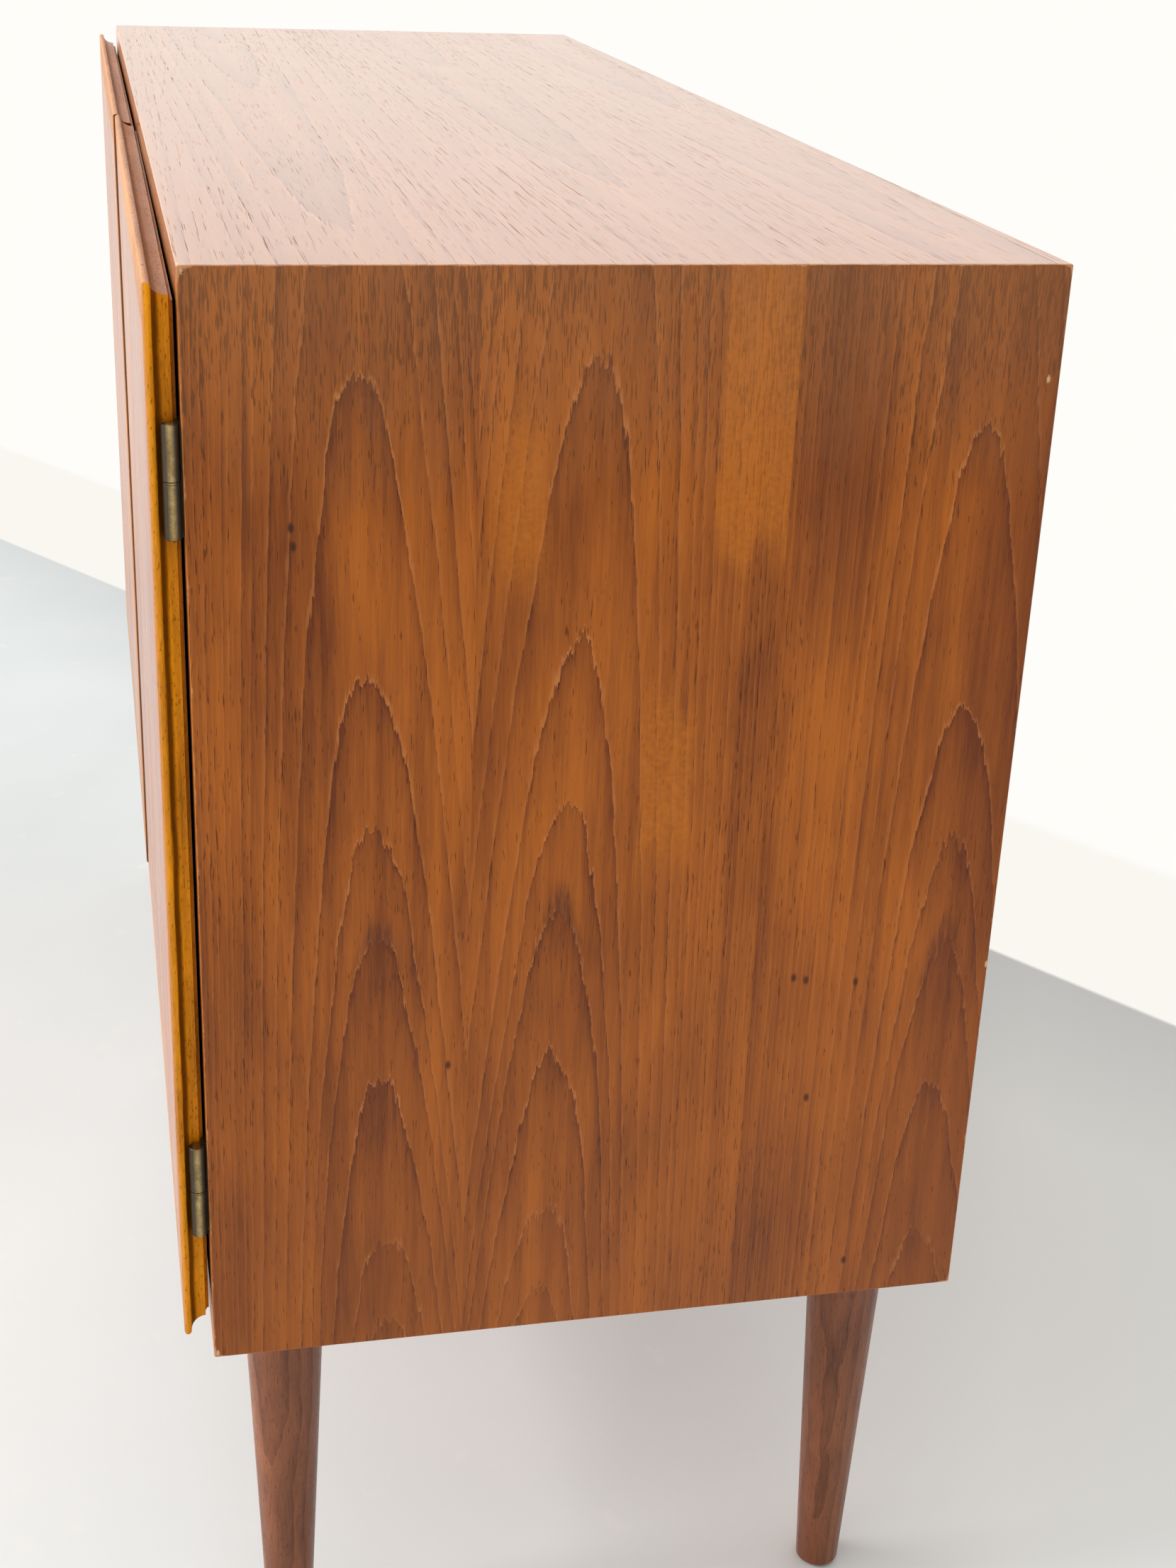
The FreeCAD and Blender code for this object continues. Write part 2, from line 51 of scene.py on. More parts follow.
def add(tree, kind, *plugs, stops=None, curve=None, named=None, **settings):
    """Adds one node. Settings are its own properties, and plugs fill its sockets in order.

    kind is the node's name, with its operation after a space where it has one. A plug is
    a value, a node or a socket, and None leaves its socket alone. named fills sockets by
    name, stops are a ramp's places and colours, curve is a curve's points.
    """
    kind, _, operation = kind.partition(" ")
    made = tree.nodes.new("ShaderNode" + kind)
    if operation:
        made.operation = operation
    for key, value in settings.items():
        setattr(made, key, value)
    if stops:
        ramp = made.color_ramp.elements
        for place, colour in stops[1:-1]:
            ramp.new(place)
        for element, (place, colour) in zip(ramp, stops):
            element.position, element.color = place, srgb(colour)
    if curve:
        line = made.mapping.curves[0]
        for place in curve[1:-1]:
            line.points.new(*place)
        for point, place in zip(line.points, curve):
            point.location, point.handle_type = place, "VECTOR"
        made.mapping.update()
    filled = list(zip([s for s in made.inputs if s.enabled], plugs))
    filled += [(made.inputs[name], plug) for name, plug in (named or {}).items()]
    for socket, plug in filled:
        plug = out_of(plug)
        if isinstance(plug, bpy.types.NodeSocket):
            tree.links.new(plug, socket)
        elif plug is not None:
            socket.default_value = plug
    return made


def pattern(name, entries):
    """An empty node group for a wood: its inputs are name, socket type and usual value."""
    tree = bpy.data.node_groups.new(name, "ShaderNodeTree")
    for label, kind, value in entries:
        socket = tree.interface.new_socket(label, in_out="INPUT", socket_type="NodeSocket" + kind)
        if value is not None:
            socket.default_value = value
    for label, kind in (("Colour", "Color"), ("Height", "Float"), ("Pores", "Float")):
        tree.interface.new_socket(label, in_out="OUTPUT", socket_type="NodeSocket" + kind)
    return tree, tree.nodes.new("NodeGroupInput").outputs, tree.nodes.new("NodeGroupOutput").inputs


def grain_noise(tree, place, across, along, detail=2.0, roughness=0.5, deep=None):
    """Noise drawn out along the grain: across and along are its grain's size in mm."""
    squeezed = add(tree, "VectorMath MULTIPLY", place, (1 / across, 1 / along, 1 / (deep or across)))
    return add(tree, "TexNoise", squeezed, 1.0, detail, roughness)


# ---------------------------------------------------------------- teak, veneered and solid

# Ring boundaries of the crown figure: how far below the board's top edge, in mm, each arch
# has its tip on the middle leaf. Above the first one the rings go on at a usual spacing.
RING_TIPS = (-165, -70, 38, 183, 267, 323, 412, 504, 558, 640, 740)
RING_SPACING = 96.0
RING_REACH = 2000.0             # how far above the edge the rings are counted from
RINGS_ABOVE = 19                # rings in that reach, before the first tip in the list
SMOKY_RING = 23.0               # the ring whose last wood is dusky
LEAF_STEP = (14.0, 24.0)        # mm that the tips move from leaf to leaf, and more each time
WANDER = 52.0                   # mm that a slow noise bends an arch
TEETH = 30.0                    # mm that a fine noise cuts into its tip
CROWD = 0.2                     # how much pores gather in some parts of the board

# Teak's pores are about 0.25 mm wide and its fibres finer still: too fine to show, so they
# are drawn wider, at these widths and lengths in mm.
PORE_SIZE = (0.62, 9.0)
FIBRE_SIZE = (0.8, 22.0)

# Tones of the wood: open pores, the pale line that ends a ring, smoky wood over a tip; painted
# sheen, gold where the fibre leans to the light and dusk where it leans away; what sun, dust,
# knots, chips and rubbing leave; old oil darkened with painted shade in the coves.
PORE, PALE_LINE, SMOKY = "3C1D0D", "D79560", "4C241A"
GOLD_SHEEN, DUSKY_SHEEN, DUSKY_SHEEN_REAR = "CC741A", "6C3417", "6E3314"
BLEACHED, DUSTY, KNOT = "A8744E", "8C5436", "2E150B"
BARE, RUBBED, OLD_OIL_AND_SHADE = "E6BE90", "CE9468", "5A2C02"


def crown_cut_teak():
    """Crown-cut teak veneer, in leaves that open like a book.

    A point's fold is its distance s from the nearest seam, so neighbouring leaves mirror
    each other. A ring is an arch: the points where the length along the grain, less
    steepness times the square of the distance from the leaf's heart, has one value.
    Ring-porous wood steps at each arch: a thin pale line, then dark wood that fades to
    light. Noise drawn out along the grain gives the arches their wander and their teeth.
    """
    tree, given, gives = pattern("crown cut teak", (
        ("Place", "Vector", None),
        ("Seam", "Float", 135.0),
        ("Leaf", "Float", 152.5),
        ("Heart", "Float", 57.0),
        ("Lean", "Float", 0.027),
        ("Steepness", "Float", 0.175),
        ("Stretch", "Float", 1.0),
        ("Tip shift", "Float", 0.0),
        ("Seed", "Float", 0.0),
        ("Light wood", "Color", srgb("B56218")),
        ("Dark wood", "Color", srgb("6C310B")),
        ("Cloudy", "Float", 1.0),
        ("Pore shade", "Float", 0.6),
        ("Pore size", "Float", 1.0),
        ("Openness", "Float", 0.0),
    ))
    put = partial(add, tree)
    place = given["Place"]
    split = put("SeparateXYZ", place).outputs
    along = put("Math DIVIDE", split[1], given["Stretch"])
    from_seam = put("Math SUBTRACT", split[0], given["Seam"])
    fold = put("Math PINGPONG", from_seam, given["Leaf"])
    leaf = put("Math FLOOR", put("Math DIVIDE", from_seam, given["Leaf"]))
    own = put("Math MULTIPLY_ADD", leaf, 0.5, given["Seed"])
    folded = put("CombineXYZ", fold, along, own)
    mirrored = put("CombineXYZ", fold, along, given["Seed"])

    # the arches, each leaf sliced a little deeper into the log than the one before
    heart = put("Math SUBTRACT", given["Heart"], put("Math MULTIPLY", along, given["Lean"]))
    off_heart = put("Math SUBTRACT", fold, heart)
    slope = put("Math MULTIPLY", off_heart, given["Steepness"])
    arch = put("Math MULTIPLY", off_heart, slope)
    sliced = put("Math MULTIPLY", leaf, put("Math MULTIPLY_ADD", leaf, LEAF_STEP[1], LEAF_STEP[0]))
    sliced = put("Math ADD", sliced, given["Tip shift"])
    height = put("Math SUBTRACT", put("Math SUBTRACT", along, arch), sliced)
    wander = put("Math SUBTRACT", grain_noise(tree, folded, 24.0, 100.0, 3.0, deep=1.0), 0.5)
    teeth = put("Math SUBTRACT", grain_noise(tree, folded, 2.0, 24.0, 3.0, 0.62, deep=1.0), 0.5)
    height = put("Math MULTIPLY_ADD", wander, WANDER, height)
    height = put("Math MULTIPLY_ADD", teeth, TEETH, height)

    # ring number, and how far through its ring a point lies
    span = RING_REACH + RING_TIPS[-1]
    rings = RINGS_ABOVE + len(RING_TIPS) - 1
    counted = [(0.0, 0.0)]
    counted += [((RING_REACH + tip) / span, (RINGS_ABOVE + i) / rings) for i, tip in enumerate(RING_TIPS)]
    reach = put("Math DIVIDE", put("Math ADD", height, RING_REACH), span)
    number = put("FloatCurve", 1.0, reach, curve=counted)
    uneven = put("TexNoise", put("Math DIVIDE", height, 150.0), 1.0, 1.0, noise_dimensions="1D")
    older = put("MapRange", height, 0.0, -300.0, 0.0, 1.6)
    number = put("Math MULTIPLY_ADD", number, float(rings), put("Math MULTIPLY", older, uneven))
    through = put("Math FRACT", number)
    ring = put("Math FLOOR", number)
    ring_own = put("TexWhiteNoise", ring, noise_dimensions="1D")

    # the true thickness of a ring, which its slope makes thin beside the heart
    steep = put("Math MULTIPLY_ADD", put("Math MULTIPLY", slope, slope), 4.0, 1.0)
    thick = put("Math DIVIDE", RING_SPACING, put("Math SQRT", steep))
    past = put("Math MULTIPLY", through, thick)
    left = put("Math SUBTRACT", 1.0, through)
    ahead = put("Math MULTIPLY", left, thick)
    pale_line = put("MapRange", ahead, 0.2, 1.5, 1.0, 0.0, interpolation_type="SMOOTHSTEP")
    dark_edge = put("MapRange", past, 0.0, 3.2, 1.0, 0.0, interpolation_type="SMOOTHSTEP")
    fading = put("Math POWER", left, 1.9)
    broken = grain_noise(tree, folded, 5.0, 16.0, deep=1.0)
    ring_dark = put("Math MULTIPLY_ADD", dark_edge, 0.3, put("Math MULTIPLY", fading, 0.7))
    strength = put("Math MULTIPLY", put("MapRange", ring_own, 0.0, 1.0, 0.4, 1.15),
                   put("MapRange", thick, 2.4, 16.0, 0.16, 1.0))
    strength = put("Math MULTIPLY", strength, put("MapRange", height, 300.0, 440.0, 1.0, 0.55))
    ring_dark = put("Math MULTIPLY", ring_dark, strength)

    # dusky wood gathers just over one ring's tip
    smoky = put("MapRange", through, 0.66, 0.97, 0.0, 1.0, interpolation_type="SMOOTHSTEP")
    near_heart = put("MapRange", put("Math ABSOLUTE", off_heart), 2.0, 17.0, 1.0, 0.0,
                     interpolation_type="SMOOTHSTEP")
    wisps = put("MapRange", grain_noise(tree, folded, 2.2, 26.0, 2.0, deep=1.0), 0.32, 0.62, 0.2, 1.0)
    smoke = put("Math MULTIPLY", smoky, near_heart)
    smoke = put("Math MULTIPLY", smoke, put("Math MULTIPLY", wisps, 0.75))
    smoke = put("Math MULTIPLY", smoke, put("Math COMPARE", ring, SMOKY_RING, 0.1))

    # broad drifts of tone, a painted sheen from a lean in the fibre that turns over at each seam, long
    # streaks
    drift = put("Math SUBTRACT", grain_noise(tree, folded, 42.0, 170.0, 3.0, deep=1.0), 0.5)
    # painted sheen: tone lighter or darker with the fibre's lean, its sign flipped on every other leaf
    sheen_sign = put("MapRange", put("Math FLOORED_MODULO", leaf, 2.0), 0.0, 1.0, 1.0, -1.0)
    lean = put("Math SUBTRACT", grain_noise(tree, mirrored, 60.0, 150.0, 2.0, deep=1.0), 0.5)
    lean = put("Math MULTIPLY", lean, sheen_sign)
    streaks = put("Math SUBTRACT", grain_noise(tree, place, 5.5, 210.0, 3.0, 0.62), 0.5)
    bands = put("Math SUBTRACT", grain_noise(tree, folded, 13.0, 420.0, 2.0, deep=1.0), 0.5)
    fibre = grain_noise(tree, place, *FIBRE_SIZE, 3.0, 0.6)
    tone = put("Math MULTIPLY_ADD", put("Math MULTIPLY", drift, given["Cloudy"]), 1.3, ring_dark)
    tone = put("Math MULTIPLY_ADD", put("Math MULTIPLY", lean, given["Cloudy"]), 0.9, tone)
    tone = put("Math MULTIPLY_ADD", streaks, 0.95, tone)
    tone = put("Math MULTIPLY_ADD", bands, 0.75, tone)
    tone = put("Math MULTIPLY_ADD", put("Math SUBTRACT", fibre, 0.5), 0.75, tone)
    tone = put("Math ADD", tone, 0.33)
    colour = put("Mix", tone, given["Light wood"], given["Dark wood"], data_type="RGBA")
    paler = put("Mix", 0.45, given["Light wood"], srgb(PALE_LINE), data_type="RGBA")
    line = put("Math MULTIPLY", pale_line, put("MapRange", broken, 0.3, 0.62, 0.1, 0.9))
    line = put("Math MULTIPLY", line, put("MapRange", thick, 3.0, 26.0, 0.16, 1.0))
    colour = put("Mix", line, colour, paler, data_type="RGBA")
    colour = put("Mix", smoke, colour, srgb(SMOKY), data_type="RGBA")

    # pores are short open dashes, most of them in the first wood of each ring
    drawn_out = put("CombineXYZ", put("Math DIVIDE", split[0], given["Pore size"]), along, split[2])
    dashes = grain_noise(tree, drawn_out, *PORE_SIZE, 1.0, 0.4)
    crowd = grain_noise(tree, folded, 26.0, 110.0, deep=1.0)
    first_wood = put("MapRange", past, 0.0, 1.2, 0.12, 0.0)
    closed = put("Math SUBTRACT", 0.805, given["Openness"])
    wanted = put("Math MULTIPLY_ADD", crowd, -CROWD, put("Math SUBTRACT", closed, first_wood))
    pores = put("MapRange", dashes, wanted, put("Math ADD", wanted, 0.05), 0.0, 1.0)
    shaded = put("Math MULTIPLY", pores, given["Pore shade"])
    colour = put("Mix", shaded, colour, srgb(PORE), data_type="RGBA")

    relief = put("Math MULTIPLY_ADD", fibre, 0.25, put("Math MULTIPLY", pores, -1.0))
    for result, plug in zip(gives, (colour, relief, pores)):
        tree.links.new(out_of(plug), result)
    return tree


def straight_teak():
    """Solid teak cut on the quarter: even bands of rings that run with the piece.

    The bands are noise of the distance across the grain, with slow patches over them.
    Open pores and short fibre run along it, and catch the light as a fine grit. Both are
    drawn about 0.9 mm wide, some three times their real width, so that they show.
    """
    tree, given, gives = pattern("straight teak", (
        ("Place", "Vector", None),
        ("Light wood", "Color", srgb("BE7A3A")),
        ("Dark wood", "Color", srgb("88501E")),
    ))
    put = partial(add, tree)
    place = given["Place"]
    bands = put("Math SUBTRACT", grain_noise(tree, place, 2.6, 240.0, 3.0, 0.6), 0.5)
    patches = put("Math SUBTRACT", grain_noise(tree, place, 14.0, 45.0, 3.0), 0.5)
    fibre = grain_noise(tree, place, 0.8, 9.0, 3.0, 0.65)
    flecks = grain_noise(tree, place, 0.9, 3.4, 2.0, 0.6)
    tone = put("Math MULTIPLY_ADD", bands, 1.3, 0.40)
    tone = put("Math MULTIPLY_ADD", patches, 1.3, tone)
    tone = put("Math MULTIPLY_ADD", put("Math SUBTRACT", fibre, 0.5), 0.9, tone)
    colour = put("Mix", tone, given["Light wood"], given["Dark wood"], data_type="RGBA")
    pores = put("MapRange", flecks, 0.61, 0.70, 0.0, 1.0)
    colour = put("Mix", put("Math MULTIPLY", pores, 0.5), colour, srgb(PORE), data_type="RGBA")
    relief = put("Math MULTIPLY_ADD", fibre, 0.5, put("Math MULTIPLY", pores, -1.0))
    for result, plug in zip(gives, (colour, relief, pores)):
        tree.links.new(out_of(plug), result)
    return tree


crown_group = crown_cut_teak()
straight_group = straight_teak()


def use(group, tree, **values):
    """A wood's colour, height and pores. Its inputs have spaces where keywords have underscores."""
    made = add(tree, "Group", node_tree=group)
    for key, value in values.items():
        socket = made.inputs[key.replace("_", " ").capitalize()]
        if isinstance(value, bpy.types.Node):
            tree.links.new(out_of(value), socket)
        else:
            socket.default_value = value
    return list(made.outputs)


def blank(name):
    """A new material with nothing in it."""
    made = bpy.data.materials.new(name)
    made.use_nodes = True
    made.node_tree.nodes.clear()
    return made, made.node_tree


def grain_space(tree, across, along, start):
    """A board's own space in mm: X runs across the grain, Y along it, both from start."""
    turn = Matrix((across, along, across.cross(along)))
    origin = turn @ Vector(start) / -MM
    return add(tree, "Mapping", add(tree, "TexCoord").outputs["Object"], tuple(origin),
               tuple(turn.to_euler()), PER_MM)


def dress(tree, wood, roughness=0.34, depth=0.12, specular=0.2, coat=0.0, uneven=0.04):
    """The shader of oiled and waxed wood: satin, with duller pores that are slightly sunk.

    depth is the relief in mm, coat the share of wax, uneven how far the roughness drifts.
    """
    put = partial(add, tree)
    colour, height, pores = wood
    cloud = put("TexNoise", put("TexCoord").outputs["Object"], 12.0, 3.0)
    rough = put("MapRange", cloud, 0.3, 0.7, roughness - uneven, roughness + uneven)
    rough = put("Math MULTIPLY_ADD", pores, 0.3, rough)
    bump = put("Bump", named={"Strength": 1.0, "Distance": depth * MM, "Height": height})
    shader = put("BsdfPrincipled", named={
        "Base Color": colour, "Roughness": rough, "Normal": bump,
        "Specular IOR Level": specular, "IOR": 1.5, "Coat Roughness": 0.16, "Coat IOR": 1.5})
    if coat:
        waxed = put("MapRange", pores, 0.0, 1.0, coat, 0.0)
        tree.links.new(waxed.outputs[0], shader.inputs["Coat Weight"])
    put("OutputMaterial", shader)


def blend(tree, share, first, second):
    """Two woods' colour, height and pores, mixed by share."""
    return [add(tree, "Mix", share, a, b, data_type="FLOAT" if i else "RGBA")
            for i, (a, b) in enumerate(zip(first, second))]


def on_face(tree, axis):
    """1 on faces that look along the axis, either way, and 0 on the narrow edges."""
    facing = add(tree, "VectorMath DOT_PRODUCT", add(tree, "TexCoord").outputs["Normal"], tuple(axis))
    size = add(tree, "Math ABSOLUTE", facing.outputs["Value"])
    return add(tree, "Math GREATER_THAN", size, 0.7)


def soft_box(tree, space, centre, half, soft):
    """1 inside a box about centre in a board's space, falling to 0 over soft mm at its sides."""
    put = partial(add, tree)
    away = put("VectorMath SUBTRACT", space, (*centre, 0.0))
    away = put("SeparateXYZ", put("VectorMath ABSOLUTE", away)).outputs
    sides = [put("MapRange", away[i], half[i], half[i] - soft[i], 0.0, 1.0, interpolation_type="SMOOTHSTEP")
             for i in (0, 1)]
    return put("Math MULTIPLY", *sides)


def rub(tree, wood, space, width, length):
    """Wears a board's arrises pale, in places, and most at its corners.

    The distance to the nearest edge is the smallest of the place's own coordinates and
    what is left of them, and wear is that distance less a slow noise along the edge.
    """
    put = partial(add, tree)
    rest = put("VectorMath SUBTRACT", (width, length, 0.0), space)
    near = put("SeparateXYZ", put("VectorMath MINIMUM", space, rest)).outputs
    edge = put("Math MINIMUM", near[0], near[1])
    corner = put("Math ADD", put("Math ABSOLUTE", near[0]), put("Math ABSOLUTE", near[1]))
    uneven = put("TexNoise", space, 0.09, 5.0, 0.7)
    rubbed = put("Math MULTIPLY_ADD", put("Math SUBTRACT", uneven, 0.5), 4.2, 0.55)
    chipped = put("MapRange", corner, 3.0, 9.0, 1.6, 0.0)
    rubbed = put("Math SUBTRACT", put("Math ADD", rubbed, chipped), edge)
    share = put("MapRange", rubbed, 0.0, 0.7, 0.0, 0.75)
    colour = put("Mix", share, wood[0], srgb(RUBBED), data_type="RGBA")
    return [colour, wood[1], wood[2]]


# ---------------------------------------------------------------- where the veneers lie

top_lo, top_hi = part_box("top_panel")
bottom_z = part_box("bottom_panel")[0].z
front_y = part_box("right_edge_strip")[0].y
end_x, top_z = top_hi.x, top_hi.z
depth_mm = (top_hi.y - front_y) / MM
height_mm = (top_z - bottom_z) / MM
length_mm = 2 * end_x / MM

SEAM = 287.5                    # the end's second seam, mm behind its front edge
# Painted sheen patches on the end, gold ribbons and a dusky patch: middle across and along, half width and
# height, how softly they end
GOLD_SHEEN_RIBBONS = (
    ((270, 58), (21, 96), (4, 30)),
    ((233, 258), (17, 66), (7, 45)),
    ((156, 112), (20, 66), (16, 50)),
)
SHADE = ((312, 40), (24.4, 170), (22, 110))
CHIPS = ((414, 55), (419, 375), (2, 2), (2, 580))       # where bare wood shows at the edges
PIN_KNOTS = (
    (48, 120), (49, 129), (125, 412), (317, 377),
    (323, 450), (354, 560), (345, 380), (310, 375),
)


def end_veneer(tree, side):
    """The end's own veneer: two whole leaves and two half ones, ribbons of painted gold sheen and pin
    knots.
    """
    put = partial(add, tree)
    space = grain_space(tree, Y, -Z, (0, front_y, top_z))
    cloud = put("Math SUBTRACT", grain_noise(tree, space, 22.0, 60.0, 3.0), 0.5)
    down = put("Math MULTIPLY_ADD", cloud, 130.0, put("SeparateXYZ", space).outputs[1])
    dried = put("MapRange", down, 5.0, 110.0, 0.155, 0.0)
    seed = 0.0 if side > 0 else 6.3
    colour, height, pores = use(crown_group, tree, place=space, seed=seed, openness=dried)

    # painted sheen: ribbons where the fibre leans and the light catches it gold, cut off at the seam
    ragged = put("VectorMath SUBTRACT", grain_noise(tree, space, 9.0, 40.0, 3.0).outputs["Color"], HALF)
    shifted = put("VectorMath MULTIPLY_ADD", ragged, (9.0, 70.0, 0.0), space)
    gold_sheen = None
    for centre, half, soft in GOLD_SHEEN_RIBBONS:
        patch = soft_box(tree, shifted, centre, half, soft)
        gold_sheen = put("Math MAXIMUM", gold_sheen, patch) if gold_sheen else patch
    in_leaf = put("Math LESS_THAN", put("SeparateXYZ", space).outputs[0], SEAM)
    mottle = put("MapRange", put("TexNoise", space, 0.35, 3.0, 0.6), 0.3, 0.65, 0.3, 0.62)
    gold_sheen = put("Math MULTIPLY", put("Math MULTIPLY", gold_sheen, in_leaf), mottle)
    colour = put("Mix", gold_sheen, colour, srgb(GOLD_SHEEN), data_type="RGBA")

    # painted sheen: the leaf past the seam leans the other way, so it is painted dusky where its neighbour
    # is gold, and darker towards its rear
    dusk_sheen = soft_box(tree, shifted, *SHADE)
    past_seam = put("Math SUBTRACT", 1.0, in_leaf)
    dusk_sheen = put("Math MULTIPLY", put("Math MULTIPLY", dusk_sheen, past_seam), 0.5)
    colour = put("Mix", dusk_sheen, colour, srgb(DUSKY_SHEEN), data_type="RGBA")
    rear_dusk_sheen = put("MapRange", put("SeparateXYZ", shifted).outputs[0], 368.0, 412.0, 0.0, 0.42)
    colour = put("Mix", rear_dusk_sheen, colour, srgb(DUSKY_SHEEN_REAR), data_type="RGBA")

    # the lower half is dull with floor dust
    haze = put("MapRange", down, 300.0, 600.0, 0.0, 0.3)
    colour = put("Mix", haze, colour, srgb(DUSTY), data_type="RGBA")

    # sun and dusters have bleached the upper edge
    bleach = put("MapRange", put("SeparateXYZ", shifted).outputs[1], -20.0, 110.0, 0.42, 0.0)
    colour = put("Mix", bleach, colour, srgb(BLEACHED), data_type="RGBA")

    # pin knots, dark specks two or three mm across
    knots = None
    for knot in PIN_KNOTS:
        near = put("VectorMath SUBTRACT", space, (*knot, 0.0))
        near = put("VectorMath MULTIPLY", near, (1.0, 0.6, 0.0))
        near = put("VectorMath LENGTH", near).outputs["Value"]
        knots = put("Math MINIMUM", knots, near) if knots else near
    speck = put("MapRange", knots, 0.6, 2.2, 0.8, 0.0, interpolation_type="SMOOTHSTEP")
    colour = put("Mix", speck, colour, srgb(KNOT), data_type="RGBA")

    # chips, small and ragged, open the pale wood under the skin
    chips = None
    for chip in CHIPS:
        near = put("VectorMath SUBTRACT", space, (*chip, 0.0))
        near = put("VectorMath MULTIPLY", near, (0.7, 0.35, 0.0))
        near = put("VectorMath LENGTH", near).outputs["Value"]
        chips = put("Math MINIMUM", chips, near) if chips else near
    chips = put("Math MULTIPLY_ADD", put("TexNoise", space, 1.4, 2.0), 1.2, chips)
    bare = put("MapRange", chips, 1.0, 1.4, 0.8, 0.0)
    colour = put("Mix", bare, colour, srgb(BARE), data_type="RGBA")
    return rub(tree, [colour, height, pores], space, depth_mm, height_mm)


def top_veneer(tree):
    """The top's veneer: long narrow flames that run the whole length, rubbed at the edges."""
    space = grain_space(tree, Y, -X, (end_x, front_y, 0))
    wood = use(crown_group, tree, place=space, seam=18.0, leaf=150.0, heart=66.0, lean=0.0,
               steepness=0.15, stretch=4.2, tip_shift=-20.0, seed=2.4,
               light_wood=srgb("BC753C"), dark_wood=srgb("904C1F"), cloudy=0.25,
               pore_shade=0.32, pore_size=0.62, openness=0.0)
    return rub(tree, wood, space, depth_mm, length_mm)


def plain_veneer(tree, across, along, start, **figure):
    """Teak veneer laid with one figure, its tips and seams as given."""
    return use(crown_group, tree, place=grain_space(tree, across, along, start), **figure)


def veneered(name, skin, face, across, along, light="B06A2A", dark="7A4014", **finish):
    """A board with a veneer skin on its faces and straight solid wood on its narrow edges."""
    made, tree = blank(name)
    edge = use(straight_group, tree, place=grain_space(tree, across, along, (0.1, 0, 0)),
               light_wood=srgb(light), dark_wood=srgb(dark))
    dress(tree, blend(tree, on_face(tree, face), edge, skin(tree)), **finish)
    return made


def solid(name, across, along, **finish):
    """Solid teak along one piece's length."""
    made, tree = blank(name)
    dress(tree, use(straight_group, tree, place=grain_space(tree, across, along, (0.3, 0, 0))), **finish)
    return made


def give(material, *names):
    """Puts a finish in every material slot of the named CAD nodes."""
    for name in names:
        for slot in nodes[name].material_slots:
            slot.material = material


# Oiled teak veneer: a satin skin over warm brown wood with arched figure. The top is
# waxed the most, so at a low angle it mirrors the room and only its pores stay dark.
strip_wood = dict(light="C9803F", dark="96561F")
top_wax = dict(roughness=0.22, specular=0.5, coat=0.55, depth=0.06, uneven=0.01)
give(veneered("teak_veneer_top", top_veneer, Z, Y, X, **top_wax), "top_panel")
give(veneered("solid_teak_top_edge", top_veneer, Z, Z, X, **strip_wood, **top_wax), "top_edge_strip")
for side, hand in ((1, "right"), (-1, "left")):
    skin = partial(end_veneer, side=side)
    give(veneered(f"teak_veneer_{hand}_end", skin, X, X, Z), f"{hand}_end_panel")
    give(veneered(f"solid_teak_{hand}_edge", skin, X, X, Z, **strip_wood), f"{hand}_edge_strip")

boards = {
    "bottom_panel": (Z, Y, -X, (end_x, front_y, 0), dict(
        seam=60.0, leaf=150.0, heart=62.0, lean=0.0, stretch=3.0, tip_shift=-100.0, seed=4.1)),
    "centre_partition": (X, Y, -Z, (0, front_y, top_z), dict(seed=8.2, seam=70.0, tip_shift=40.0)),
}
for side, hand in ((1, "right"), (-1, "left")):
    board_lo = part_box(f"{hand}_shelf_board")[0]
    boards[f"{hand}_shelf_board"] = (Z, Y, -X * side, (side * end_x, board_lo.y, 0), dict(
        seam=50.0, leaf=130.0, lean=0.0, stretch=2.4, tip_shift=-180.0, seed=5.0 + side))
    door_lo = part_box(f"{hand}_door_panel")[0]
    boards[f"{hand}_door_panel"] = (Y, X, -Z, (door_lo.x, 0, top_z), dict(
        seam=58.0 if side > 0 else 22.0, leaf=146.0, heart=60.0, lean=0.02, steepness=0.15,
        stretch=1.5, tip_shift=-60.0 if side > 0 else -20.0, seed=9.0 + side))
for name, (face, across, along, start, figure) in boards.items():
    skin = partial(plain_veneer, across=across, along=along, start=start, **figure)
    finish = dict(roughness=0.3, specular=0.45, coat=0.35) if "door" in name else {}
    give(veneered(f"teak_veneer_{name}", skin, face, face, along, **finish), name)

# Solid teak, oiled: golden, closer and plainer than the veneer, with open pores.


